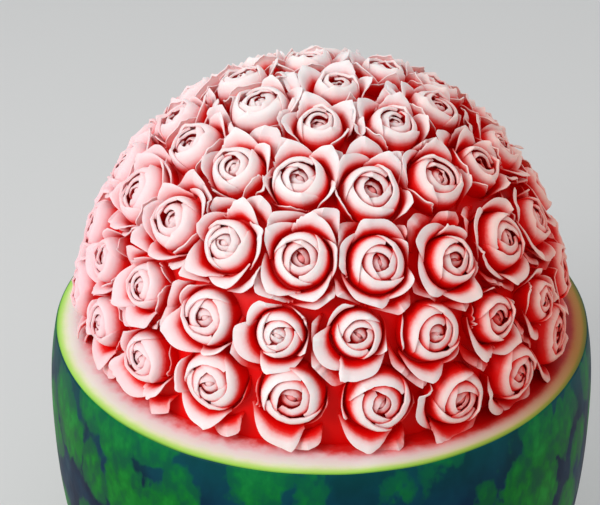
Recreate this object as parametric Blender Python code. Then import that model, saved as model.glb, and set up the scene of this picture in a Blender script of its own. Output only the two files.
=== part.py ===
"""Carved watermelon basket: an upright oval watermelon whose upper half is peeled and carved all
over into roses, while its lower half keeps the rind and holds them like a basket. It is one piece
of fruit, so it is one solid, standing on a small flat cut.

Frame: origin at the middle of the flat cut it stands on, +Z up, front towards -Y. Metres.
"""

import math
import random

import bmesh
import bpy
from mathutils import Matrix, Vector

# The melon
RIM_HEIGHT = 0.197  # cut rim of the rind above the table
EQUATOR_HEIGHT = 0.142  # widest place of the melon
EQUATOR_RADIUS = 0.1345
HALF_LENGTH = 0.155  # from the equator to the uncut end
BLUNTNESS = 2.4  # exponent of the outline; 2 would be an ellipse

# The cut rim, from the skin in to the foot of the dome
RIM_RISE = 0.003
RIM_WIDTH = 0.021

# The dome of roses
DOME_RADIUS = 0.1215  # over the tops of the roses, in the plane of the rim
DOME_HEIGHT = 0.129
CARVING_DEPTH = 0.0165  # from the tops of the roses to the floor between them

# Rows of roses round a pole that leans to the back right, from the top down
POLE_LEAN = math.radians(8)
POLE_AZIMUTH = math.radians(147)
ROSE_ROWS = (  # angle from the pole, roses in a full row, azimuth of the row's first rose
    (10.5, 3, -8.0),
    (24.0, 9, -11.0),
    (39.5, 15, -13.0),
    (55.5, 18, -8.0),
    (70.5, 20, -11.5),
    (84.0, 20, -6.0),
)
LOWEST_ROSE = math.radians(81.5)  # a rose that would stand lower, and so cut into the rim, is raised to this
DROPPED_ROSE = math.radians(86.5)  # one that would stand lower than this has no room, and is left out
AZIMUTH_SCATTER = 1.2  # degrees
ROW_SCATTER = 0.9
SIZE_SCATTER = 0.07  # share of the size

# One rose, seen from above: bud, closed petals round it, open petals outside
BUD_RADIUS = 0.0040
BUD_GROOVE_RADIUS = 0.0058
CLOSED_EDGE_RADIUS = 0.0102
HEAD_RADIUS = 0.0135
OPEN_EDGE_RADIUS = 0.0235
ROOT_RADIUS = 0.0150
BUD_TOP_DEPTH = 0.0008
BUD_GROOVE_DEPTH = 0.0030
CLOSED_EDGE_DEPTH = 0.0008
HEAD_FOOT_DEPTH = 0.0085
OPEN_EDGE_DEPTH = 0.0045
ROOT_DEPTH = 0.0215
PETAL_STEP = 0.0018  # how far a petal's free end stands outside its tucked end
PETAL_SAG = 0.0014  # how much lower a petal's ends are than its middle
BUD_SIDES = 6
PETALS = 3
PETAL_COLUMNS = 3
# Each gap between two roses goes mostly to the rose above and to the right of it
SPREAD_DIRECTION = math.radians(235)
SPREAD_SHARE = 0.10
NEIGHBOUR_GAP = 0.0018

SHARP_ANGLE = math.radians(25)
SKIN_COLUMNS = 48
SKIN_RINGS = 9
CORE_COLUMNS = 24
CORE_RINGS = 14
SEED = 7


def clear_scene():
    """Removes whatever the file held before."""
    for obj in list(bpy.data.objects):
        bpy.data.objects.remove(obj)


def melon_radius(height):
    """Radius of the uncut melon at a height above the table."""
    along = abs(height - EQUATOR_HEIGHT) / HALF_LENGTH
    return EQUATOR_RADIUS * (1 - along**BLUNTNESS) ** (1 / BLUNTNESS)


def object_from(mesh_maker, name):
    """A new object in the scene, its mesh drawn by mesh_maker in an empty bmesh."""
    bm = bmesh.new()
    mesh_maker(bm)
    bmesh.ops.recalc_face_normals(bm, faces=bm.faces)
    mesh = bpy.data.meshes.new(name)
    bm.to_mesh(mesh)
    bm.free()
    obj = bpy.data.objects.new(name, mesh)
    bpy.context.scene.collection.objects.link(obj)
    return obj


def draw_melon(bm):
    """Rind bowl with its flat foot and its cut rim, closed across the top under the dome."""
    heights = [RIM_HEIGHT * (1 - math.cos(math.pi * i / SKIN_RINGS)) / 2 for i in range(SKIN_RINGS + 1)]
    outline = [(melon_radius(h), h) for h in heights]
    outline.append((melon_radius(RIM_HEIGHT) - RIM_WIDTH, RIM_HEIGHT + RIM_RISE))
    profile = [bm.verts.new((radius, 0, height)) for radius, height in outline]
    edges = [bm.edges.new(pair) for pair in zip(profile, profile[1:])]
    bmesh.ops.spin(
        bm, geom=profile + edges, cent=(0, 0, 0), axis=(0, 0, 1), angle=math.tau,
        steps=SKIN_COLUMNS, use_merge=True,
    )
    bmesh.ops.holes_fill(bm, edges=[e for e in bm.edges if e.is_boundary], sides=SKIN_COLUMNS)


def draw_core(bm):
    """The floor between the roses: an ellipsoid that stands halfway in the rind bowl."""
    bmesh.ops.create_uvsphere(bm, u_segments=CORE_COLUMNS, v_segments=CORE_RINGS, radius=1)
    axes = (DOME_RADIUS - CARVING_DEPTH, DOME_RADIUS - CARVING_DEPTH, DOME_HEIGHT - CARVING_DEPTH)
    bmesh.ops.scale(bm, vec=axes, verts=bm.verts)
    bmesh.ops.translate(bm, vec=(0, 0, RIM_HEIGHT), verts=bm.verts)


def rose_directions():
    """Unit vectors from the dome's middle to its roses, from the top row down, each row leftwards."""
    draw = random.Random(SEED)
    pole = Vector((
        math.sin(POLE_LEAN) * math.sin(POLE_AZIMUTH),
        -math.sin(POLE_LEAN) * math.cos(POLE_AZIMUTH),
        math.cos(POLE_LEAN),
    ))
    front = Vector((0, -1, 0))
    front = (front - front.dot(pole) * pole).normalized()
    side = pole.cross(front)
    directions = []
    for angle, count, first in ROSE_ROWS:
        for i in range(count):
            azimuth = math.radians(first - 360 * i / count + draw.uniform(-1, 1) * AZIMUTH_SCATTER)
            slope = math.radians(angle + draw.uniform(-1, 1) * ROW_SCATTER)
            around = math.cos(azimuth) * front + math.sin(azimuth) * side
            direction = math.cos(slope) * pole + math.sin(slope) * around
            from_top = direction.angle(Vector((0, 0, 1)))
            if from_top > DROPPED_ROSE:
                continue
            if from_top > LOWEST_ROSE:
                outward = Vector((direction.x, direction.y, 0)).normalized()
                direction = math.sin(LOWEST_ROSE) * outward + math.cos(LOWEST_ROSE) * Vector((0, 0, 1))
            directions.append(direction)
    return directions


def rose_frame(direction):
    """Matrix of a rose's own frame: origin on the dome, +X right, +Y up the dome, +Z outwards."""
    place = Vector((DOME_RADIUS * direction.x, DOME_RADIUS * direction.y, DOME_HEIGHT * direction.z))
    out = Vector((
        direction.x / DOME_RADIUS, direction.y / DOME_RADIUS, direction.z / DOME_HEIGHT,
    )).normalized()
    up = Vector((0, 0, 1)) - out.z * out
    up.normalize()
    turned = Matrix((up.cross(out), up, out)).transposed().to_4x4()
    return Matrix.Translation(place + Vector((0, 0, RIM_HEIGHT))) @ turned


def open_reach(neighbours, azimuth, size):
    """Radius of the open petals' edge in one direction: a share of the way to the next roses."""
    reach = OPEN_EDGE_RADIUS * size
    heading = Vector((math.cos(azimuth), math.sin(azimuth), 0))
    for place in neighbours:
        spread = math.cos(math.atan2(place.y, place.x) - SPREAD_DIRECTION)
        shared = (0.5 + SPREAD_SHARE * spread) * place.length - NEIGHBOUR_GAP / 2
        towards = place.normalized()
        if heading.dot(towards) > 0.1:
            reach = min(reach, (shared + OPEN_EDGE_DEPTH * towards.z) / heading.dot(towards))
    return max(reach, HEAD_RADIUS * size)


def petal_ring(radius_at, depth, turn, sag):
    """Points of a whorl's edge: each petal starts outside its neighbour and ends tucked under it."""
    points = []
    for i in range(PETALS * PETAL_COLUMNS):
        azimuth = turn + math.tau * i / (PETALS * PETAL_COLUMNS)
        along = (i % PETAL_COLUMNS) / (PETAL_COLUMNS - 1)
        radius = radius_at(azimuth) + PETAL_STEP * (0.5 - along)
        low = depth + sag * abs(2 * along - 1)
        points.append(Vector((radius * math.cos(azimuth), radius * math.sin(azimuth), -low)))
    return points


def plain_ring(radius, depth, sides, turn, size):
    """Points of a level circle about the rose's axis."""
    return [
        Vector((
            radius * size * math.cos(turn + math.tau * i / sides),
            radius * size * math.sin(turn + math.tau * i / sides),
            -depth,
        ))
        for i in range(sides)
    ]


def draw_rose(bm, frame, neighbours, turn, size):
    """One rose as a closed shape: from the bud's tip out over two whorls of petals to its root."""
    rings = [
        plain_ring(BUD_RADIUS, BUD_TOP_DEPTH, BUD_SIDES, turn, size),
        plain_ring(BUD_GROOVE_RADIUS, BUD_GROOVE_DEPTH, BUD_SIDES, turn, size),
        petal_ring(lambda azimuth: CLOSED_EDGE_RADIUS * size, CLOSED_EDGE_DEPTH, turn, PETAL_SAG),
        petal_ring(lambda azimuth: HEAD_RADIUS * size, HEAD_FOOT_DEPTH, turn, 0),
        petal_ring(
            lambda azimuth: open_reach(neighbours, azimuth, size), OPEN_EDGE_DEPTH, turn, PETAL_SAG,
        ),
        plain_ring(ROOT_RADIUS, ROOT_DEPTH, PETALS * PETAL_COLUMNS, turn, size),
    ]
    loops = []
    for ring in rings:
        verts = [bm.verts.new(frame @ point) for point in ring]
        loops.append([bm.edges.new((a, b)) for a, b in zip(verts, verts[1:] + verts[:1])])
    for inner, outer in zip(loops, loops[1:]):
        bmesh.ops.bridge_loops(bm, edges=inner + outer)
    tip = bmesh.ops.contextual_create(bm, geom=loops[0])["faces"]
    bmesh.ops.poke(bm, faces=tip, offset=BUD_TOP_DEPTH)
    bmesh.ops.contextual_create(bm, geom=loops[-1])


def make_roses(collection):
    """One object for each rose, in the collection that the melon is joined with."""
    draw = random.Random(SEED + 1)
    frames = [rose_frame(direction) for direction in rose_directions()]
    for index, frame in enumerate(frames):
        inverse = frame.inverted()
        near = [inverse @ other.translation for other in frames if other is not frame]
        near = [place for place in near if place.length < 3 * OPEN_EDGE_RADIUS]
        turn = draw.uniform(0, math.tau)
        size = 1 + draw.uniform(-1, 1) * SIZE_SCATTER
        rose = object_from(lambda bm: draw_rose(bm, frame, near, turn, size), f"rose_{index}")
        bpy.context.scene.collection.objects.unlink(rose)
        collection.objects.link(rose)


def flesh_material():
    """Moist cut watermelon flesh, pale pink at the petals' edges."""
    material = bpy.data.materials.new("watermelon_flesh")
    material.use_nodes = True
    shader = material.node_tree.nodes["Principled BSDF"]
    shader.inputs["Base Color"].default_value = (0.80, 0.22, 0.17, 1)
    shader.inputs["Roughness"].default_value = 0.4
    shader.inputs["Metallic"].default_value = 0.0
    return material


def fuse(melon, collection):
    """Joins everything in the collection to the melon with one Boolean, and removes the pieces."""
    union = melon.modifiers.new("carving", "BOOLEAN")
    union.operation = "UNION"
    union.operand_type = "COLLECTION"
    union.collection = collection
    union.solver = "MANIFOLD"
    bpy.context.view_layer.objects.active = melon
    bpy.ops.object.modifier_apply(modifier=union.name)
    for obj in list(collection.objects):
        bpy.data.objects.remove(obj)
    bpy.data.collections.remove(collection)


def keep_outer_skin(obj):
    """Fills sealed hollows and drops loose scraps: of the skins that share no edge, the largest stays."""
    bm = bmesh.new()
    bm.from_mesh(obj.data)
    bmesh.ops.triangulate(bm, faces=bm.faces)
    corners = {}
    for face in bm.faces:
        corners.setdefault(frozenset(face.verts), []).append(face)
    folded = [face for faces in corners.values() if len(faces) > 1 for face in faces]
    bmesh.ops.delete(bm, geom=folded, context="FACES_ONLY")
    left = set(bm.faces)
    skins = []
    while left:
        skin = {left.pop()}
        growing = list(skin)
        while growing:
            for edge in growing.pop().edges:
                for face in edge.link_faces if edge.is_manifold else ():
                    if face not in skin:
                        skin.add(face)
                        growing.append(face)
        left -= skin
        skins.append(skin)
    skins.sort(key=len)
    for skin in skins[:-1]:
        bmesh.ops.delete(bm, geom=list(skin), context="FACES")
    bmesh.ops.delete(bm, geom=[edge for edge in bm.edges if edge.is_wire], context="EDGES")
    bm.to_mesh(obj.data)
    bm.free()


def main():
    clear_scene()
    melon = object_from(draw_melon, "carved_watermelon")
    carving = bpy.data.collections.new("carving")
    bpy.context.scene.collection.children.link(carving)
    core = object_from(draw_core, "core")
    bpy.context.scene.collection.objects.unlink(core)
    carving.objects.link(core)
    make_roses(carving)
    fuse(melon, carving)
    keep_outer_skin(melon)
    melon.data.materials.append(flesh_material())
    melon.data.shade_smooth()
    melon.data.set_sharp_from_angle(angle=SHARP_ANGLE)


main()
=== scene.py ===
"""Looks of the carved watermelon: the green rind bowl with its cut rim, and the dome of flesh roses.

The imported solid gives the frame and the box. The pieces made here stand for it: the melon's body,
the floor of the carving, and one piece for each row of roses, petal by petal.
"""

from __future__ import annotations

import logging
import math
import random
from dataclasses import dataclass, field
from enum import Enum
from functools import partial
from typing import Callable

import bmesh
import bpy
from mathutils import Matrix, Vector, noise


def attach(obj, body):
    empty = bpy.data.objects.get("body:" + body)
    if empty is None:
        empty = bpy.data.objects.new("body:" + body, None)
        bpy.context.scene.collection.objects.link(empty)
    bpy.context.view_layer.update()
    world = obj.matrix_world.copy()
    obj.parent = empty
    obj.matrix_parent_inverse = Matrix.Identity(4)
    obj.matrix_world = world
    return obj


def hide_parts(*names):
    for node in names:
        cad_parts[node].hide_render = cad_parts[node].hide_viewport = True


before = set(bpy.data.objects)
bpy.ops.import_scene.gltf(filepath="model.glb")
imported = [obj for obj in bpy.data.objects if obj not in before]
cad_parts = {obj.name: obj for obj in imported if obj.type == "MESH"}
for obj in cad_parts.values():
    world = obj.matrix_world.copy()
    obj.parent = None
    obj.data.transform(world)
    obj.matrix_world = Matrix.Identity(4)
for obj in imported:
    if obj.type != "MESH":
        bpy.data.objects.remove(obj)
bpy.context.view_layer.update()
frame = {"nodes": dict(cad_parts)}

LOG = logging.getLogger("carved_watermelon")
NODE = "carved_watermelon"
BODY = "root"
# Name of the number that each point carries for its colour: how far inside the flesh it lies, in millimetres,
# with painted shade added on the petals' hidden faces
INSIDE = "inside"
MM = 0.001
SEED = 7


def linear(colour: str) -> tuple[float, float, float, float]:
    """Turns an sRGB hex colour into linear RGBA.

    Args:
        colour: the colour as six hex digits after a hash.

    Returns:
        Linear red, green, blue and an alpha of one.
    """
    channels = [int(colour[i : i + 2], 16) / 255 for i in (1, 3, 5)]
    red, green, blue = (c / 12.92 if c <= 0.04045 else ((c + 0.055) / 1.055) ** 2.4 for c in channels)
    return red, green, blue, 1.0


def smooth(low: float, high: float, value: float) -> float:
    """Eases from 0 at low to 1 at high.

    Args:
        low: where the rise starts.
        high: where it ends.
        value: the place asked for.

    Returns:
        A number from 0 to 1.
    """
    share = min(max((value - low) / (high - low), 0.0), 1.0)
    return share * share * (3 - 2 * share)


@dataclass(frozen=True)
class Melon:
    """Sizes of the fruit, in metres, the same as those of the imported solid."""

    rim_height: float = 0.197
    equator_height: float = 0.142
    equator_radius: float = 0.1345
    half_length: float = 0.155
    bluntness: float = 2.4
    rim_rise: float = 0.003
    rim_width: float = 0.021
    dome_radius: float = 0.1215
    dome_height: float = 0.129
    floor_depth: float = 0.0105

    def skin_radius(self, height: float) -> float:
        """Radius of the uncut melon at a height above the table."""
        along = abs(height - self.equator_height) / self.half_length
        return self.equator_radius * (1 - along**self.bluntness) ** (1 / self.bluntness)

    @property
    def centre(self) -> Vector:
        """Middle of the dome, in the plane of the rim."""
        return Vector((0, 0, self.rim_height))

    def dome_axes(self, depth: float = 0.0) -> Vector:
        """Half axes of the dome at a depth below the tops of the roses."""
        radius = self.dome_radius - depth
        return Vector((radius, radius, self.dome_height - depth))


@dataclass(frozen=True)
class Pattern:
    """Where the roses stand: rows round a pole that leans to the back right."""

    lean: float = math.radians(8)
    lean_azimuth: float = math.radians(147)
    # Angle from the pole, roses in a full row, azimuth of the row's first rose
    rows: tuple[tuple[float, int, float], ...] = (
        (10.5, 3, -8.0),
        (24.0, 9, -11.0),
        (39.5, 15, -13.0),
        (55.5, 18, -8.0),
        (70.5, 20, -11.5),
        (84.0, 20, -6.0),
    )
    # Angles from the top: a rose past the first is raised to it, and one past the second is left out
    lowest: float = math.radians(81.5)
    dropped: float = math.radians(86.5)
    # In degrees, either way
    azimuth_scatter: float = 1.2
    row_scatter: float = 0.9

    def directions(self) -> list[list[Vector]]:
        """Unit vectors from the dome's middle to its roses.

        Returns:
            One list for each row, from the top row down.
        """
        draw = random.Random(SEED)
        pole = Vector((
            math.sin(self.lean) * math.sin(self.lean_azimuth),
            -math.sin(self.lean) * math.cos(self.lean_azimuth),
            math.cos(self.lean),
        ))
        front = Vector((0, -1, 0))
        front = (front - front.dot(pole) * pole).normalized()
        side = pole.cross(front)
        found: list[list[Vector]] = []
        for angle, count, first in self.rows:
            row: list[Vector] = []
            for i in range(count):
                scatter = draw.uniform(-1, 1) * self.azimuth_scatter
                azimuth = math.radians(first - 360 * i / count + scatter)
                slope = math.radians(angle + draw.uniform(-1, 1) * self.row_scatter)
                around = math.cos(azimuth) * front + math.sin(azimuth) * side
                direction = math.cos(slope) * pole + math.sin(slope) * around
                from_top = direction.angle(Vector((0, 0, 1)))
                if from_top > self.dropped:
                    continue
                if from_top > self.lowest:
                    outward = Vector((direction.x, direction.y, 0)).normalized()
                    direction = math.sin(self.lowest) * outward + math.cos(self.lowest) * Vector((0, 0, 1))
                row.append(direction)
            found.append(row)
        return found


class Side(Enum):
    """Which side of a petal faces out of the fruit."""

    CLOSED = "outer face, as on the petals folded over the bud"
    OPEN = "inner face, as on the petals that lean away from it"


def soft_min(first: float, second: float, blend: float) -> float:
    """The lesser of two lengths, rounded off where they are nearly the same."""
    return (first + second - math.sqrt((first - second) ** 2 + blend * blend)) / 2


def cusp(u: float, middle: float, half_width: float) -> float:
    """A pointed hump of height 1 along a petal's edge."""
    return max(0.0, 1 - abs(u - middle) / half_width) ** 2


@dataclass(frozen=True)
class Column:
    """One line of a petal from its free edge down to its foot, in millimetres."""

    azimuth: float
    edge: float
    foot: float
    top: float


@dataclass
class Petal:
    """One carved petal, as a curved sheet from its free edge down to its foot.

    Lengths are millimetres in the rose's own frame. Along the petal, u runs from -1 at the end that is
    tucked under its neighbour to 1 at its free end. Down the petal, v runs from 0 at the edge to 1.
    """

    side: Side
    azimuth: float
    half_span: float
    edge: float
    foot: float
    top: float
    bottom: float
    reach: Callable[[float], float]
    draw: random.Random
    tone: float
    hand: int
    # Where its point stands along it, and how high that rises
    tip: float
    lift: float
    ragged: float = 0.0
    thickness: float = 0.45
    # How far the edge bends out at both ends, and how far the whole petal opens towards its free end
    bow: float = 0.8
    opening: float = 0.0
    # How squarely the sheet turns down, from 2 for a quarter of an ellipse
    belly: float = 2.2
    # How far the end under the neighbour is sunk
    tuck: float = 1.2
    # How fast it reddens away from its edge, and how much redder and darker its hidden face is painted, as
    # painted shade under the petal
    blush: float = 0.06
    underside_shade: float = 3.0
    columns: int = 16
    rings: int = 6
    phase: float = field(init=False)
    tears: list[float] = field(init=False)

    def __post_init__(self) -> None:
        """Draws the petal's waves and how its edge is torn."""
        self.phase = self.draw.uniform(0, math.tau)
        self.tears = [self.draw.uniform(-1, 1) * self.ragged for _ in range(self.columns + 1)]

    def closed_column(self, u: float, tear: float) -> Column:
        """A line of a petal that is folded over the bud: past its point the edge falls to the foot.

        Args:
            u: place along the petal.
            tear: how far its torn edge strays there.

        Returns:
            The line.
        """
        wave = 0.14 * math.sin(4.1 * u + self.phase) + 0.3 * tear
        tucked = smooth(-0.45, -1.0, u)
        free = smooth(self.tip - 0.05, 1.05, u) ** 1.2
        point = cusp(u, self.tip, 0.34)
        edge = self.edge + self.bow * u * u + self.opening * (u + 0.3) + wave + 0.4 * tucked
        edge += (self.foot - edge) * 0.88 * free
        fallen = min(max((edge - self.edge) / (self.foot - self.edge), 0.0), 0.98)
        shoulder = 1 - (1 - fallen**self.belly) ** (1 / self.belly)
        top = self.top + 0.5 * (self.bottom - self.top) * shoulder * free + self.lift * point
        top += 0.5 * wave - self.tuck * tucked - 3.0 * smooth(0.9, 1.0, u)
        azimuth = self.azimuth + self.hand * self.half_span * u
        return Column(azimuth, edge + 0.5 * point, self.foot + 0.5 * tucked, top)

    def open_column(self, u: float, tear: float) -> Column:
        """A line of a petal that leans away from the bud: a crescent that ends in a torn point.

        Args:
            u: place along the petal.
            tear: how far its torn edge strays there.

        Returns:
            The line.
        """
        azimuth = self.azimuth + self.hand * self.half_span * u
        wave = 0.16 * math.sin(3.1 * u + self.phase)
        tucked = smooth(min(self.tip, 0.1), -1.0, u)
        ending = smooth(self.tip, 1.0, u)
        point = 0.5 * cusp(u, self.tip, 0.75) + 0.5 * cusp(u, self.tip, 0.22)
        torn = tear * smooth(0.0, 0.45, u)
        foot = self.foot + 1.0 * tucked - 0.4 * ending
        share = 1 - 0.72 * tucked - 0.74 * ending + 0.2 * point
        edge = foot + (self.edge - self.foot) * share + wave + 0.6 * torn
        edge = max(soft_min(edge, self.reach(azimuth), 0.8), foot + 0.3)
        top = self.top + self.lift * point + 0.5 * wave + 0.5 * torn
        top += -5.0 * tucked**1.5 - 4.5 * ending**1.5 - 5.0 * smooth(2.4, 0.3, edge - foot)
        return Column(azimuth, edge, foot, top)

    def point(self, column: Column, v: float) -> Vector:
        """Place of a point of the sheet.

        Args:
            column: the line that it is on.
            v: how far down the line it is.

        Returns:
            The point, in millimetres in the rose's frame.
        """
        turn = math.pi / 2 * v
        out = math.sin(turn) ** (2 / self.belly)
        down = 1 - max(math.cos(turn), 0.0) ** (2 / self.belly)
        radius = column.edge + (column.foot - column.edge) * out
        height = column.top + (self.bottom - column.top) * down
        return Vector((radius * math.cos(column.azimuth), radius * math.sin(column.azimuth), height))

    def build(self, place: Callable[[Vector], Vector]) -> bmesh.types.BMesh:
        """Makes the petal's mesh, with its thickness.

        Args:
            place: carries a point from the rose's frame to the fruit.

        Returns:
            The mesh, which the caller frees.
        """
        bm = bmesh.new()
        inside = bm.verts.layers.float.new(INSIDE)
        bmesh.ops.create_grid(bm, x_segments=self.columns, y_segments=self.rings, size=1)
        opened = self.side is Side.OPEN
        shape = self.open_column if opened else self.closed_column
        known: dict[int, Column] = {}
        for vert in bm.verts:
            along, v = vert.co.x, (vert.co.y + 1) / 2
            number = round((along + 1) / 2 * self.columns)
            if number not in known:
                # An open petal has its columns closer together at the torn end
                u = along + 0.3 * (1 - along * along) if opened else along
                known[number] = shape(u, self.tears[number])
            column = known[number]
            point = self.point(column, v)
            vert.co = place(point)
            # Roughly the millimetres from the petal's own edge, and how this petal differs from the others
            edge, top = (column.edge, column.top) if opened else (self.edge, self.top)
            sideways = abs(math.hypot(point.x, point.y) - edge)
            vert[inside] = 0.5 * max(top - point.z, 0.0) + self.blush * sideways**2 + self.tone
        if opened != (self.hand > 0):
            bmesh.ops.reverse_faces(bm, faces=bm.faces)
        bm.normal_update()
        made = bmesh.ops.solidify(bm, geom=bm.faces, thickness=self.thickness * MM)
        # Painted shade: the hidden face of the sheet is made redder and darker, which draws a dark line under
        # the petal's edge
        for vert in made["geom"]:
            if isinstance(vert, bmesh.types.BMVert):
                vert[inside] += self.underside_shade
        return bm


@dataclass(frozen=True)
class Whorl:
    """A ring of like petals. Lengths are in millimetres, and the half span is in degrees."""

    count: int
    half_span: float
    edge: float
    foot: float
    top: float
    lift: float
    tone: float = 0.0
    bow: float = 0.8
    opening: float = 0.0


@dataclass
class Rose:
    """One rose: a heart, whorls folded over it, and open petals where there is room for them."""

    melon: Melon
    frame: Matrix
    neighbours: list[Vector]
    draw: random.Random
    pitch: float
    full_pitch: float = 0.038
    # A rose that stands higher than this is carved as those that are seen from above
    high_from: float = 0.281
    longest_reach: float = 0.0265
    reach_depth: float = 0.003
    # Low on the dome each gap goes to the rose above it, and high up to the one below
    low_spread: float = math.radians(235)
    high_spread: float = math.radians(80)
    turnover: tuple[float, float] = (0.262, 0.292)
    spread_share: float = 0.11
    neighbour_gap: float = 0.002
    # How far the petals' feet go below the floor of the carving, in millimetres
    rooted: float = 1.5
    # Radius and half height of the heart, how far its top is under the petals, and its redness
    hearts: tuple[tuple[float, float, float, float], ...] = ((2.6, 3.0, 0.3, 2.8), (8.8, 3.4, 2.3, 4.0))
    scale: float = field(init=False)
    high: bool = field(init=False)
    hand: int = field(init=False)
    fullness: float = field(init=False)

    def __post_init__(self) -> None:
        """Draws the rose's size from the room it has, and the way its petals turn."""
        self.scale = min(max(self.pitch / self.full_pitch, 0.8), 1.06) * self.draw.uniform(0.95, 1.05)
        self.high = self.frame.translation.z > self.high_from
        self.hand = 1 if self.draw.random() < 0.65 else -1
        self.fullness = self.draw.uniform(0.82, 1.06)

    @property
    def bottom(self) -> float:
        """Height of the petals' feet, just under the floor of the carving."""
        return -self.melon.floor_depth / MM - self.rooted

    def reach(self, azimuth: float) -> float:
        """How far an open petal may go in one direction.

        Args:
            azimuth: the direction, in the rose's frame.

        Returns:
            The distance from the rose's middle, in millimetres of a rose of full size.
        """
        reach = self.longest_reach
        heading = Vector((math.cos(azimuth), math.sin(azimuth), 0))
        for place in self.neighbours:
            level = (self.frame @ (place / 2)).z
            high = smooth(*self.turnover, level)
            bearing = math.atan2(place.y, place.x)
            spread = (1 - high) * math.cos(bearing - self.low_spread)
            spread += high * math.cos(bearing - self.high_spread)
            shared = (0.5 + self.spread_share * math.tanh(4 * spread)) * place.length - self.neighbour_gap / 2
            towards = place.normalized()
            if heading.dot(towards) > 0.1:
                reach = min(reach, (shared + self.reach_depth * towards.z) / heading.dot(towards))
        return reach / self.scale / MM

    def place(self, point: Vector) -> Vector:
        """Carries a point from the rose's frame to the fruit, along the dome's curve.

        Args:
            point: the point, in millimetres.

        Returns:
            Its place on the fruit, in metres, with the small unevenness of carving by hand.
        """
        x, y = point.x * self.scale * MM, point.y * self.scale * MM
        sag = (x * x + y * y) / (2 * self.melon.dome_radius)
        spot = Vector((x, y, point.z * MM - sag))
        wobble = noise.noise_vector(self.frame @ spot * 120) * 0.25 * MM
        return self.frame @ (spot + wobble)

    def bud_whorls(self) -> tuple[Whorl, ...]:
        """Chooses the rings of petals that are folded over the heart.

        Returns:
            The rings, from the heart outwards.
        """
        draw = self.draw
        heart = draw.uniform(1.5, 2.4) if draw.random() < 0.3 else draw.uniform(0.3, 0.8)
        full = self.fullness
        pair = draw.choice((2, 3))
        wide = 106 if pair == 2 else 85
        if self.high:
            return (
                Whorl(2, 106, 1.5, 6.4 * full, -0.9 - heart, 0.8, 1.2, bow=1.0),
                Whorl(pair, wide, 4.6 * full, 10.4 * full, -0.1 - 0.3 * heart, 1.3, 0.2, opening=0.6),
                Whorl(3, 80, 8.8 * full, 14.0 * full, 0.0, 1.7, -0.4, opening=0.9),
            )
        return (
            Whorl(2, 104, 1.0, 6.6 * full, 0.3 - heart, 0.4, 1.6, bow=1.0),
            Whorl(pair, wide, 4.4 * full, 10.6 * full, 0.5 - 0.4 * heart, 0.7, 0.4, bow=0.6, opening=0.4),
            Whorl(3, 78, 8.6 * full, 13.8 * full, 0.1, 1.0, -0.4, bow=0.9, opening=1.1),
        )

    def bud_petals(self) -> list[Petal]:
        """Makes the petals that are folded over the heart.

        Returns:
            The petals, ring by ring from the heart outwards.
        """
        draw = self.draw
        start = draw.uniform(0, math.tau)
        found: list[Petal] = []
        whorls = self.bud_whorls()
        for order, whorl in enumerate(whorls):
            turn = start + order * 1.05
            for i in range(whorl.count):
                found.append(Petal(
                    side=Side.CLOSED,
                    azimuth=turn + math.tau * i / whorl.count + draw.uniform(-0.12, 0.12),
                    half_span=math.radians(whorl.half_span),
                    edge=whorl.edge + draw.uniform(-0.3, 0.3),
                    foot=whorl.foot + draw.uniform(-0.2, 0.3),
                    top=whorl.top + draw.uniform(-0.25, 0.25),
                    bottom=self.bottom,
                    reach=self.reach,
                    draw=draw,
                    tone=whorl.tone + draw.uniform(-0.3, 0.3),
                    hand=self.hand,
                    tip=draw.uniform(0.35, 0.55),
                    lift=whorl.lift,
                    ragged=0.6 if draw.random() < 0.25 else 0.0,
                    bow=whorl.bow,
                    opening=whorl.opening,
                    thickness=(0.45, 0.8, 1.1)[order],
                    belly=2.2 if whorl is whorls[-1] else 2.5,
                    blush=0.08 if whorl is whorls[-1] else 0.32,
                    columns=12 if order < 2 else 16,
                ))
        return found

    def open_petal(self, whorl: Whorl, azimuth: float, tip: float) -> Petal:
        """Makes one petal that leans away from the bud.

        Args:
            whorl: the ring that it belongs to.
            azimuth: where its middle points.
            tip: where its point stands along it, from -1 to 1.

        Returns:
            The petal.
        """
        draw = self.draw
        half_span = math.radians(whorl.half_span + draw.uniform(-4, 4))
        edge = whorl.edge + draw.uniform(-0.8, 0.8)
        if whorl.count > 1:
            # Rounder than the room between the neighbours
            edge = min(edge, min(self.reach(azimuth + half_span * u) for u in (-0.45, 0, 0.45)) + 0.9)
        return Petal(
            side=Side.OPEN,
            azimuth=azimuth,
            half_span=half_span,
            edge=edge,
            foot=whorl.foot,
            top=whorl.top + draw.uniform(-0.6, 0.6),
            bottom=self.bottom,
            reach=self.reach,
            draw=draw,
            tone=whorl.tone + draw.uniform(-0.6, 0.6),
            hand=self.hand,
            tip=tip,
            lift=whorl.lift,
            ragged=draw.uniform(0.6, 1.2) if draw.random() < 0.45 else 0.15,
            belly=1.7 if self.high else 2.1,
            columns=24,
        )

    def open_petals(self) -> list[Petal]:
        """Makes the ring of open petals.

        Returns:
            Those petals of the ring for which there is room.
        """
        draw = self.draw
        if self.high:
            whorl = Whorl(5, 46, 20.2, 15.0 * self.fullness, -0.4, 2.2, tone=-1.5)
        else:
            whorl = Whorl(5, 49, 21.8, 14.6 * self.fullness, -1.3, 1.4, tone=-2.0)
        found: list[Petal] = []
        turn = draw.uniform(0, math.tau)
        for i in range(whorl.count):
            azimuth = turn + math.tau * i / whorl.count + draw.uniform(-0.15, 0.15)
            tip = draw.uniform(-0.1, 0.35) if self.high else draw.uniform(0.25, 0.75)
            petal = self.open_petal(whorl, azimuth, tip)
            room = [self.reach(azimuth + petal.half_span * u) - whorl.foot for u in (-0.6, -0.3, 0, 0.3, 0.6)]
            if sum(room) / len(room) > 1.0:
                found.append(petal)
        return found

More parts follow.
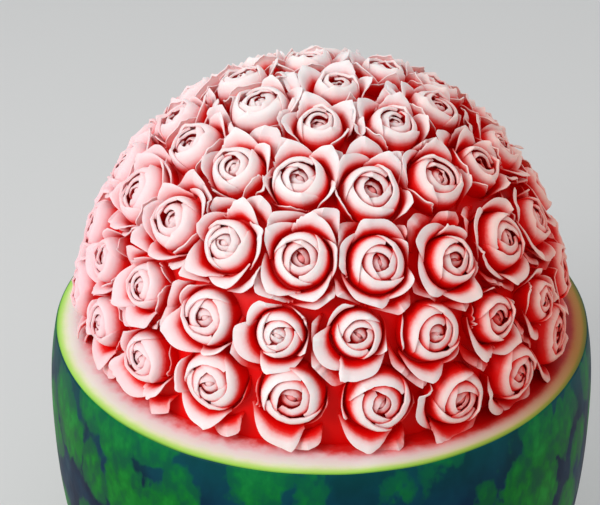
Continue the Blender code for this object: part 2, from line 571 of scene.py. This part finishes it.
    def corner_petals(self) -> list[Petal]:
        """Makes the outermost petals, which fill the corners between three roses.

        Returns:
            One petal for each corner that is wide enough.
        """
        draw = self.draw
        foot = 17.2 if self.high else 18.2
        steps = 24
        reaches = [self.reach(math.tau * i / steps) for i in range(steps)]
        found: list[Petal] = []
        for i, reach in enumerate(reaches):
            before, after = reaches[i - 1], reaches[(i + 1) % steps]
            if reach < foot + 4.2 or reach < before or reach <= after:
                continue
            top = -2.6 if self.high else -4.8
            whorl = Whorl(1, 36, reach + 1.0, foot, top, 2.0, tone=-1.6)
            azimuth = math.tau * i / steps + draw.uniform(-0.2, 0.2)
            found.append(self.open_petal(whorl, azimuth, draw.uniform(-0.1, 0.5)))
        return found

    def heart(self, top: float) -> bmesh.types.BMesh:
        """Makes the small dome in the middle, and a broad one that closes the gaps round it.

        Args:
            top: height in millimetres of the innermost petals.

        Returns:
            The mesh, which the caller frees.
        """
        bm = bmesh.new()
        inside = bm.verts.layers.float.new(INSIDE)
        for radius, height, sunk, redness in self.hearts:
            made = bmesh.ops.create_uvsphere(bm, u_segments=16, v_segments=8, radius=1)
            for vert in made["verts"]:
                x, y, z = vert.co
                vert.co = self.place(Vector((x * radius, y * radius, (z - 1) * height + top - sunk)))
                vert[inside] = redness
        return bm

    def build(self) -> list[bmesh.types.BMesh]:
        """Makes the rose's petals and its heart.

        Returns:
            Their meshes, which the caller frees.
        """
        bud = self.bud_petals()
        petals = bud + self.open_petals() + self.corner_petals()
        return [petal.build(self.place) for petal in petals] + [self.heart(bud[0].top)]


@dataclass(frozen=True)
class Flesh:
    """Carved watermelon flesh: moist, cut with a thin knife, whitish near the rind and red below.

    The cut cells scatter light, so it is satin, with a soft glow from below the surface.
    """

    melon: Melon
    name: str = "carved watermelon flesh"
    roughness: float = 0.42
    ior: float = 1.36
    blotch_mm: float = 14.0
    # The cells are under half a millimetre across, so both grains are drawn as coarse as they need to show
    cell_mm: float = 1.6
    grain_mm: float = 0.7
    glow_mm: float = 4.0
    # Millimetres of depth that are added everywhere, which makes up for what the noise and the height take
    added: float = 2.28
    # Painted light and shade: a pink for the lit left side and a tan for the shaded right side
    lit_left_pink: str = "#FFDCE4"
    shaded_right_tan: str = "#F8CEBC"
    # Depth below the tops of the roses in millimetres, and the colour there
    colours: tuple[tuple[float, str], ...] = (
        (0.0, "#FFEDEA"),
        (3.0, "#FFDEDC"),
        (4.8, "#FDB7B6"),
        (6.3, "#F5716E"),
        (8.0, "#EC231F"),
        (10.5, "#E80706"),
        (18.0, "#DC0404"),
    )

    def build(self) -> bpy.types.Material:
        """Makes the material.

        Returns:
            The material, coloured by the depth below the dome.
        """
        material = new_material(self.name)
        add = partial(add_node, material)
        axes = self.melon.dome_axes()
        place = add("ShaderNodeTexCoord").outputs["Object"]
        apart = add("ShaderNodeSeparateXYZ", {0: place}).outputs
        blotches, cells, grain = (
            add(
                "ShaderNodeTexNoise", {"Vector": place, "Scale": 1 / (size * MM), "Detail": detail}
            ).outputs["Fac"]
            for size, detail in ((self.blotch_mm, 3.0), (self.cell_mm, 2.0), (self.grain_mm, 2.0))
        )
        inside = add("ShaderNodeAttribute", attribute_name=INSIDE).outputs["Fac"]
        squeeze = {
            "Vector": place,
            "Location": (0, 0, -self.melon.centre.z / axes.z),
            "Scale": (1 / axes.x, 1 / axes.y, 1 / axes.z),
        }
        scaled = add("ShaderNodeMapping", squeeze).outputs["Vector"]
        length = add("ShaderNodeVectorMath", {0: scaled}, operation="LENGTH").outputs["Value"]
        radius = axes.x / MM
        from_top = {0: length, 1: -radius, 2: radius + self.added}
        depth = add("ShaderNodeMath", from_top, operation="MULTIPLY_ADD").outputs[0]
        # The flesh is uneven, and redder on the right and low down: the unevenness is its own, and the redder
        # right and low side is painted shade
        shifts = ((blotches, 3.2), (cells, 1.2), (inside, 0.8), (apart["X"], 15.0), (apart["Z"], -13.0))
        for value, rate in shifts:
            depth = add("ShaderNodeMath", {0: value, 1: rate, 2: depth}, operation="MULTIPLY_ADD").outputs[0]
        # Painted light: on the lit left and at the top the pale flesh reaches deeper
        leaning = add("ShaderNodeMath", {0: apart["Z"], 1: 1.2}, operation="MULTIPLY").outputs[0]
        leaning = add("ShaderNodeMath", {0: leaning, 1: apart["X"]}, operation="SUBTRACT").outputs[0]
        leaned = {"Value": leaning, "From Min": 0.31, "From Max": 0.43, "To Min": 1.0, "To Max": 0.64}
        painted_light_paler = add("ShaderNodeMapRange", leaned).outputs["Result"]
        depth = add("ShaderNodeMath", {0: depth, 1: painted_light_paler}, operation="MULTIPLY").outputs[0]
        depth = add("ShaderNodeMath", {0: depth, 1: self.colours[-1][0]}, operation="DIVIDE").outputs[0]
        colour = add("ShaderNodeValToRGB", {0: depth}, stops=self.colours).outputs["Color"]
        # Painted light and shade: its whites are tinted pink on the lit left and tan on the shaded right
        for tint, start, end in ((self.lit_left_pink, -0.03, -0.12), (self.shaded_right_tan, 0.03, 0.12)):
            side = {"Value": apart["X"], "From Min": start, "From Max": end}
            tinted = {0: add("ShaderNodeMapRange", side).outputs["Result"], 6: colour, 7: linear(tint)}
            colour = add("ShaderNodeMix", tinted, data_type="RGBA", blend_type="MULTIPLY").outputs[2]
        uneven = {0: cells, 1: 0.12, 2: self.roughness - 0.06}
        shader = add("ShaderNodeBsdfPrincipled", {
            "Base Color": colour,
            "Roughness": add("ShaderNodeMath", uneven, operation="MULTIPLY_ADD").outputs[0],
            "IOR": self.ior,
            "Normal": add(
                "ShaderNodeBump", {"Height": grain, "Strength": 0.25, "Distance": 0.15 * MM}
            ).outputs["Normal"],
            "Specular IOR Level": 0.18,
            "Subsurface Weight": 0.35,
            "Subsurface Radius": (1.0, 0.35, 0.3),
            "Subsurface Scale": self.glow_mm * MM,
        })
        add("ShaderNodeOutputMaterial", {"Surface": shader.outputs["BSDF"]})
        return material


@dataclass(frozen=True)
class CutRind:
    """Watermelon rind cut with a knife: a thin green skin line, pale rind, and pink flesh that turns red.

    It is moist and firm and the knife leaves it smooth, so it is satin, with a faint glow.
    """

    melon: Melon
    name: str = "cut watermelon rind"
    roughness: float = 0.38
    ior: float = 1.36
    blotch_mm: float = 5.0
    # The rind's cells are finer than the flesh's, and drawn as coarse as they need to show
    grain_mm: float = 0.8
    glow_mm: float = 2.0
    # Width in millimetres of the green edge, which is the same all round
    green_mm: float = 2.0
    # Painted shade: a tan that darkens the right side
    shaded_right_tan: str = "#C08636"
    # Distance in from the skin in millimetres, and the colour there
    colours: tuple[tuple[float, str], ...] = (
        (0.0, "#1C5216"),
        (0.5, "#5C9C2C"),
        (1.4, "#A0DC54"),
        (3.0, "#C2EA84"),
        (4.8, "#E2F0C0"),
        (7.0, "#ECEFE0"),
        (10.5, "#F1E7E4"),
        (13.8, "#F4C8CB"),
        (16.6, "#EA8688"),
        (19.2, "#DE3432"),
        (23.0, "#DA0A08"),
    )

    def build(self) -> bpy.types.Material:
        """Makes the material.

        Returns:
            The material, coloured by the distance from the skin.
        """
        material = new_material(self.name)
        add = partial(add_node, material)
        rim_radius = self.melon.skin_radius(self.melon.rim_height)
        place = add("ShaderNodeTexCoord").outputs["Object"]
        across = add("ShaderNodeSeparateXYZ", {0: place}).outputs["X"]
        blotches, grain = (
            add(
                "ShaderNodeTexNoise", {"Vector": place, "Scale": 1 / (size * MM), "Detail": detail}
            ).outputs["Fac"]
            for size, detail in ((self.blotch_mm, 4.0), (self.grain_mm, 2.0))
        )
        flat = add("ShaderNodeMapping", {"Vector": place, "Scale": (1, 1, 0)}).outputs["Vector"]
        length = add("ShaderNodeVectorMath", {0: flat}, operation="LENGTH").outputs["Value"]
        from_skin = {0: length, 1: -1 / MM, 2: rim_radius / MM}
        inwards = add("ShaderNodeMath", from_skin, operation="MULTIPLY_ADD").outputs[0]
        # Past its green edge the rind is uneven, and narrow on the right
        sideways = {"Value": across, "From Min": -0.02, "From Max": 0.13, "To Min": -0.3, "To Max": 1.3}
        narrow = add("ShaderNodeMapRange", sideways, interpolation_type="SMOOTHSTEP").outputs["Result"]
        narrow = add("ShaderNodeMath", {0: blotches, 1: 0.8, 2: narrow}, operation="MULTIPLY_ADD").outputs[0]
        beyond = add("ShaderNodeMath", {0: inwards, 1: self.green_mm}, operation="SUBTRACT").outputs[0]
        beyond = add("ShaderNodeMath", {0: beyond, 1: 0.0}, operation="MAXIMUM").outputs[0]
        squeezed = {0: beyond, 1: narrow, 2: inwards}
        inwards = add("ShaderNodeMath", squeezed, operation="MULTIPLY_ADD").outputs[0]
        inwards = add("ShaderNodeMath", {0: inwards, 1: self.colours[-1][0]}, operation="DIVIDE").outputs[0]
        colour = add("ShaderNodeValToRGB", {0: inwards}, stops=self.colours).outputs["Color"]
        # Painted shade: its whites are darkened to tan on the right
        side = {"Value": across, "From Min": 0.02, "From Max": 0.12}
        tinted = {0: add("ShaderNodeMapRange", side).outputs["Result"], 6: colour, 7: linear(self.shaded_right_tan)}
        uneven = {0: grain, 1: 0.14, 2: self.roughness - 0.07}
        shader = add("ShaderNodeBsdfPrincipled", {
            "Base Color": add("ShaderNodeMix", tinted, data_type="RGBA", blend_type="MULTIPLY").outputs[2],
            "Roughness": add("ShaderNodeMath", uneven, operation="MULTIPLY_ADD").outputs[0],
            "IOR": self.ior,
            "Normal": add(
                "ShaderNodeBump", {"Height": grain, "Strength": 0.3, "Distance": 0.2 * MM}
            ).outputs["Normal"],
            "Subsurface Weight": 0.1,
            "Subsurface Radius": (1.0, 0.5, 0.3),
            "Subsurface Scale": self.glow_mm * MM,
        })
        add("ShaderNodeOutputMaterial", {"Surface": shader.outputs["BSDF"]})
        return material


@dataclass(frozen=True)
class Skin:
    """Watermelon skin: hard, waxy and smooth, with mottled green blotches between dark blue-green veins."""

    melon: Melon
    name: str = "watermelon skin"
    roughness: float = 0.45
    ior: float = 1.4
    cell_mm: float = 27.0
    warp_mm: float = 16.0
    broad_mm: float = 20.0
    fine_mm: float = 6.0
    # The pores are too fine to see, so the grain is drawn coarser
    grain_mm: float = 1.2
    # Noise and colour, inside the blotches and in the veins
    blotch: tuple[tuple[float, str], ...] = (
        (0.0, "#033C30"),
        (0.36, "#05522E"),
        (0.5, "#086A22"),
        (0.66, "#15802A"),
        (1.0, "#2C9A38"),
    )
    vein: tuple[tuple[float, str], ...] = (
        (0.0, "#010A22"),
        (0.4, "#021832"),
        (0.6, "#042C44"),
        (1.0, "#085048"),
    )
    teal: str = "#046A58"

    def build(self) -> bpy.types.Material:
        """Makes the material.

        Returns:
            The material, with a pattern drawn out along the melon's length.
        """
        material = new_material(self.name)
        add = partial(add_node, material)
        place = add("ShaderNodeTexCoord").outputs["Object"]
        drawn_out = add("ShaderNodeMapping", {"Vector": place, "Scale": (1, 1, 0.72)}).outputs["Vector"]
        broad, fine, grain = (
            add(
                "ShaderNodeTexNoise", {"Vector": where, "Scale": 1 / (size * MM), "Detail": detail}
            ).outputs["Fac"]
            for where, size, detail in (
                (drawn_out, self.broad_mm, 4.0),
                (drawn_out, self.fine_mm, 4.0),
                (place, self.grain_mm, 2.0),
            )
        )
        wander = {"Vector": drawn_out, "Scale": 1 / (self.warp_mm * MM), "Detail": 3.0, "Roughness": 0.55}
        warp = add("ShaderNodeTexNoise", wander).outputs["Color"]
        shifted = {0: warp, 1: (0.014, 0.014, 0.014), 2: drawn_out}
        bent = add("ShaderNodeVectorMath", shifted, operation="MULTIPLY_ADD").outputs["Vector"]
        cells = {"Vector": bent, "Scale": 1 / (self.cell_mm * MM), "Randomness": 0.85}
        cell = add("ShaderNodeTexVoronoi", cells).outputs["Distance"]
        cell = add("ShaderNodeMath", {0: fine, 1: 0.4, 2: cell}, operation="MULTIPLY_ADD").outputs[0]
        # Each blotch is lighter in its middle
        lighter = add("ShaderNodeMath", {0: cell, 1: -0.5, 2: fine}, operation="MULTIPLY_ADD").outputs[0]
        lighter = add("ShaderNodeMath", {0: lighter, 1: 0.25}, operation="ADD").outputs[0]
        green = add("ShaderNodeValToRGB", {0: lighter}, stops=self.blotch).outputs["Color"]
        dark = add("ShaderNodeValToRGB", {0: broad}, stops=self.vein).outputs["Color"]
        border = {"Value": cell, "From Min": 0.7, "From Max": 0.8}
        between = add("ShaderNodeMapRange", border, interpolation_type="SMOOTHSTEP").outputs["Result"]
        colour = add("ShaderNodeMix", {0: between, 6: green, 7: dark}, data_type="RGBA").outputs[2]
        # Near the cut rim both are tinged with teal
        height = add("ShaderNodeSeparateXYZ", {0: place}).outputs["Z"]
        rim = self.melon.rim_height
        rising = {"Value": height, "From Min": rim - 0.027, "From Max": rim + 0.003, "To Max": 0.3}
        tinged = {0: add("ShaderNodeMapRange", rising).outputs["Result"], 6: colour, 7: linear(self.teal)}
        uneven = {0: fine, 1: 0.16, 2: self.roughness - 0.08}
        shader = add("ShaderNodeBsdfPrincipled", {
            "Base Color": add("ShaderNodeMix", tinged, data_type="RGBA").outputs[2],
            "Roughness": add("ShaderNodeMath", uneven, operation="MULTIPLY_ADD").outputs[0],
            "IOR": self.ior,
            "Normal": add(
                "ShaderNodeBump", {"Height": grain, "Strength": 0.12, "Distance": 0.15 * MM}
            ).outputs["Normal"],
            "Specular IOR Level": 0.08,
        })
        add("ShaderNodeOutputMaterial", {"Surface": shader.outputs["BSDF"]})
        return material


def new_material(name: str) -> bpy.types.Material:
    """Makes an empty material whose nodes are still to come.

    Args:
        name: what the material is.

    Returns:
        The material.
    """
    material = bpy.data.materials.new(name)
    material.use_nodes = True
    material.node_tree.nodes.clear()
    return material


def add_node(
    material: bpy.types.Material,
    kind: str,
    inputs: dict | None = None,
    stops: tuple[tuple[float, str], ...] = (),
    **settings: object,
) -> bpy.types.Node:
    """Adds a node to a material.

    Args:
        material: the material it goes in.
        kind: the node's type.
        inputs: a value, or the socket that feeds it, for each input's name or number.
        stops: for a colour ramp, each colour and the value where it stands, in rising order.
        settings: the node's own settings.

    Returns:
        The node.
    """
    node = material.node_tree.nodes.new(kind)
    for name, value in settings.items():
        setattr(node, name, value)
    for key, value in (inputs or {}).items():
        socket = node.inputs[key]
        if isinstance(value, bpy.types.NodeSocket):
            material.node_tree.links.new(value, socket)
        else:
            socket.default_value = value
    for number, (at, colour) in enumerate(stops):
        elements = node.color_ramp.elements
        stop = elements[number] if number < len(elements) else elements.new(1.0)
        stop.position = at / stops[-1][0]
        stop.color = linear(colour)
    return node


def join(whole: bmesh.types.BMesh, part: bmesh.types.BMesh) -> None:
    """Adds one mesh to another and frees it.

    Args:
        whole: the mesh that grows.
        part: the mesh that is added.
    """
    mesh = bpy.data.meshes.new("part")
    part.to_mesh(mesh)
    part.free()
    whole.from_mesh(mesh)
    bpy.data.meshes.remove(mesh)


def finish_piece(
    name: str, bm: bmesh.types.BMesh, materials: list[bpy.types.Material], sharp: float = 40
) -> bpy.types.Object:
    """Turns a mesh into a piece of the fruit, smooth but for its sharp edges, and hands it to the frame.

    Args:
        name: the piece's name.
        bm: its mesh, which is freed.
        materials: its materials, by the number that its faces hold.
        sharp: the angle in degrees over which an edge stays sharp.

    Returns:
        The piece.
    """
    mesh = bpy.data.meshes.new(name)
    bm.to_mesh(mesh)
    bm.free()
    for material in materials:
        mesh.materials.append(material)
    mesh.shade_smooth()
    mesh.set_sharp_from_angle(angle=math.radians(sharp))
    piece = bpy.data.objects.new(name, mesh)
    bpy.context.scene.collection.objects.link(piece)
    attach(piece, BODY)
    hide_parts(NODE)
    mesh.calc_loop_triangles()
    LOG.info("%s: %d triangles", name, len(mesh.loop_triangles))
    return piece


@dataclass
class MelonBody:
    """The rind bowl with its foot and its cut rim, closed across the top under the dome."""

    melon: Melon
    columns: int = 192
    side_rings: int = 40
    rim_rings: int = 16
    lip_rings: int = 3
    lip: float = 0.0008
    foot_round: float = 0.004
    # How far the rim runs on under the roses
    overlap: float = 0.006
    # The foot stays even, and the rest departs from the turned shape over this stretch of height
    uneven: tuple[float, float] = (0.02, 0.06)

    def outline(self) -> list[tuple[float, float]]:
        """Turned outline from the middle of the foot to the middle of the top.

        Returns:
            Radius and height of its points.
        """
        melon = self.melon
        foot = melon.skin_radius(0)
        found = [(0.0, 0.0), (0.4 * foot, 0.0), (0.8 * foot, 0.0), (foot - self.foot_round, 0.0)]
        top = melon.rim_height
        for i in range(1, self.side_rings + 1):
            height = (top - self.lip) * (1 - math.cos(math.pi * i / self.side_rings)) / 2
            found.append((melon.skin_radius(height), height))
        rim_radius = melon.skin_radius(top)
        for i in range(1, self.lip_rings + 1):
            turn = math.pi / 2 * i / self.lip_rings
            inset = self.lip * (1 - math.cos(turn))
            found.append((rim_radius - inset, top - self.lip * (1 - math.sin(turn))))
        for i in range(1, self.rim_rings + 1):
            share = i / self.rim_rings
            radius = rim_radius - self.lip - share * (melon.rim_width + self.overlap)
            found.append((radius, top + melon.rim_rise * share))
        found.append((0.0, top + melon.rim_rise))
        return found

    def build(self, skin: bpy.types.Material, rind: bpy.types.Material) -> bpy.types.Object:
        """Makes the piece.

        Args:
            skin: material of the outside.
            rind: material of the cut faces.

        Returns:
            The piece.
        """
        bm = bmesh.new()
        verts = [bm.verts.new((radius, 0, height)) for radius, height in self.outline()]
        edges = [bm.edges.new(pair) for pair in zip(verts, verts[1:])]
        bmesh.ops.spin(
            bm, geom=verts + edges, cent=(0, 0, 0), axis=(0, 0, 1), angle=math.tau,
            steps=self.columns, use_merge=True,
        )
        bmesh.ops.remove_doubles(bm, verts=bm.verts, dist=0.01 * MM)
        bmesh.ops.recalc_face_normals(bm, faces=bm.faces)
        materials = [skin, rind]
        for face in bm.faces:
            height = face.calc_center_median().z
            cut = height > self.melon.rim_height - 0.3 * self.lip or height < 0.01 * MM
            face.material_index = materials.index(rind if cut else skin)
        for vert in bm.verts:
            if vert.co.z > self.uneven[0]:
                self.unevenness(vert)
        return finish_piece("melon_body", bm, materials)

    def unevenness(self, vert: bmesh.types.BMVert) -> None:
        """Moves a point as a real melon and a hand-cut rim depart from the turned shape.

        Args:
            vert: the point.
        """
        rise = smooth(*self.uneven, vert.co.z)
        swell = noise.noise(vert.co * 14) * 0.8 * MM * rise
        flat = Vector((vert.co.x, vert.co.y, 0))
        if flat.length > 0.1:
            vert.co += flat.normalized() * (swell - 0.4 * MM * rise)
        if vert.co.z > self.melon.rim_height - self.lip:
            vert.co.z += noise.noise(vert.co * 45) * 0.35 * MM


@dataclass
class DomeFloor:
    """The red floor of the carving between and under the roses."""

    melon: Melon
    detail: int = 6
    # How far it goes down below the rim
    sunk: float = 0.012

    def build(self, flesh: bpy.types.Material) -> bpy.types.Object:
        """Makes the piece.

        Args:
            flesh: material of the carving.

        Returns:
            The piece.
        """
        bm = bmesh.new()
        bmesh.ops.create_icosphere(bm, subdivisions=self.detail, radius=1)
        axes = self.melon.dome_axes(self.melon.floor_depth)
        for vert in bm.verts:
            out = vert.co.normalized()
            spot = Vector((out.x * axes.x, out.y * axes.y, out.z * axes.z)) + self.melon.centre
            strokes = noise.noise(spot * 130) * 0.9 * MM
            vert.co = spot + out * (strokes - 0.6 * MM)
        bmesh.ops.bisect_plane(
            bm, geom=list(bm.verts) + list(bm.edges) + list(bm.faces),
            plane_co=(0, 0, self.melon.rim_height - self.sunk), plane_no=(0, 0, -1), clear_outer=True,
        )
        bmesh.ops.holes_fill(bm, edges=[edge for edge in bm.edges if edge.is_boundary])
        bmesh.ops.recalc_face_normals(bm, faces=bm.faces)
        return finish_piece("carving_floor", bm, [flesh])


@dataclass
class RoseDome:
    """All roses, one piece for each row."""

    melon: Melon
    pattern: Pattern = Pattern()
    # How far away a neighbour may be, and how many of the nearest set the room that a rose has
    nearby: float = 0.07
    counted: int = 5

    def frame_at(self, direction: Vector) -> Matrix:
        """Own frame of a rose: +X right, +Y up the dome, +Z outwards.

        Args:
            direction: unit vector from the dome's middle towards the rose.

        Returns:
            The frame, with its origin on the dome.
        """
        axes = self.melon.dome_axes()
        spot = Vector((axes.x * direction.x, axes.y * direction.y, axes.z * direction.z))
        out = Vector((direction.x / axes.x, direction.y / axes.y, direction.z / axes.z)).normalized()
        up = (Vector((0, 0, 1)) - out.z * out).normalized()
        turned = Matrix((up.cross(out), up, out)).transposed().to_4x4()
        return Matrix.Translation(spot + self.melon.centre) @ turned

    def build(self, flesh: bpy.types.Material) -> list[bpy.types.Object]:
        """Makes the pieces.

        Args:
            flesh: material of the petals.

        Returns:
            One piece for each row, from the top down.
        """
        draw = random.Random(SEED + 1)
        rows = [[self.frame_at(direction) for direction in row] for row in self.pattern.directions()]
        every = [place for row in rows for place in row]
        pieces = []
        for number, row in enumerate(rows, start=1):
            whole = bmesh.new()
            whole.verts.layers.float.new(INSIDE)
            for place in row:
                inverse = place.inverted()
                spots = [inverse @ other.translation for other in every if other is not place]
                spots = sorted(spots, key=lambda spot: spot.length)
                near = [spot for spot in spots if spot.length < self.nearby]
                pitch = sum(spot.length for spot in near[: self.counted]) / self.counted
                for part in Rose(self.melon, place, near, draw, pitch).build():
                    join(whole, part)
            pieces.append(finish_piece(f"rose_row_{number}", whole, [flesh], sharp=35))
        return pieces


@dataclass
class Studio:
    """Pale floor, soft light, and the camera at the photograph's viewing angle."""

    melon: Melon
    elevation: float = math.radians(33.2)
    distance: float = 0.90
    lens: float = 110.0
    image_width: int = 600
    # Where the middle of the rim stands in the picture, right of and below the picture's middle, in pixels
    rim_right: float = 22.0
    rim_below: float = 57.5

    def build_camera(self) -> None:
        """Places the camera in front of the fruit."""
        data = bpy.data.cameras.new("camera")
        data.lens = self.lens
        data.sensor_width = 36.0
        data.sensor_fit = "HORIZONTAL"
        data.clip_start = 0.01
        camera = bpy.data.objects.new("camera", data)
        bpy.context.scene.collection.objects.link(camera)
        back = Vector((0, -math.cos(self.elevation), math.sin(self.elevation)))
        camera.location = self.melon.centre + back * self.distance
        pixel = self.distance * data.sensor_width / data.lens / self.image_width
        up = Vector((0, math.sin(self.elevation), math.cos(self.elevation)))
        aim = self.melon.centre - Vector((1, 0, 0)) * self.rim_right * pixel + up * self.rim_below * pixel
        camera.rotation_euler = (aim - camera.location).to_track_quat("-Z", "Y").to_euler()
        bpy.context.scene.camera = camera

    def build_floor(self) -> None:
        """Lays the floor, apart from the fruit."""
        bm = bmesh.new()
        bmesh.ops.create_grid(bm, x_segments=1, y_segments=1, size=3)
        mesh = bpy.data.meshes.new("floor")
        bm.to_mesh(mesh)
        bm.free()
        material = new_material("pale studio floor")
        pale = {"Base Color": linear("#DCDCDA"), "Roughness": 0.8}
        shader = add_node(material, "ShaderNodeBsdfPrincipled", pale)
        add_node(material, "ShaderNodeOutputMaterial", {"Surface": shader.outputs["BSDF"]})
        mesh.materials.append(material)
        floor = bpy.data.objects.new("floor", mesh)
        bpy.context.scene.collection.objects.link(floor)

    def build_lights(self) -> None:
        """Hangs a large key light at the upper left and a weak fill at the right."""
        # Name, place, size in metres, power in watts
        lights = (
            ("key", Vector((-0.95, -0.9, 1.0)), 0.7, 12.5),
            ("top", Vector((-0.1, 0.5, 1.5)), 1.0, 3.0),
            ("fill", Vector((1.1, -0.9, 0.7)), 1.0, 2.0),
        )
        for name, place, size, power in lights:
            data = bpy.data.lights.new(name, "AREA")
            data.size = size
            data.energy = power
            light = bpy.data.objects.new(name, data)
            light.location = place
            light.rotation_euler = (self.melon.centre - place).to_track_quat("-Z", "Y").to_euler()
            bpy.context.scene.collection.objects.link(light)

    def build_world(self) -> None:
        """Sets the even pale surroundings."""
        world = bpy.data.worlds.new("studio")
        world.use_nodes = True
        background = world.node_tree.nodes["Background"]
        background.inputs["Color"].default_value = linear("#E9EBEE")
        background.inputs["Strength"].default_value = 0.7
        bpy.context.scene.world = world
        bpy.context.scene.view_settings.view_transform = "Standard"

    def build(self) -> None:
        """Sets up the whole studio."""
        self.build_world()
        self.build_floor()
        self.build_lights()
        self.build_camera()


def main() -> None:
    """Builds the fruit and the studio round it."""
    logging.basicConfig(level=logging.INFO, format="%(name)s %(message)s")
    # Noise vectors differ from run to run unless their seed is set
    noise.seed_set(SEED)
    melon = Melon()
    flesh = Flesh(melon).build()
    rind = CutRind(melon).build()
    skin = Skin(melon).build()
    MelonBody(melon).build(skin, rind)
    DomeFloor(melon).build(flesh)
    RoseDome(melon).build(flesh)
    Studio(melon).build()


if __name__ == "__main__":
    main()
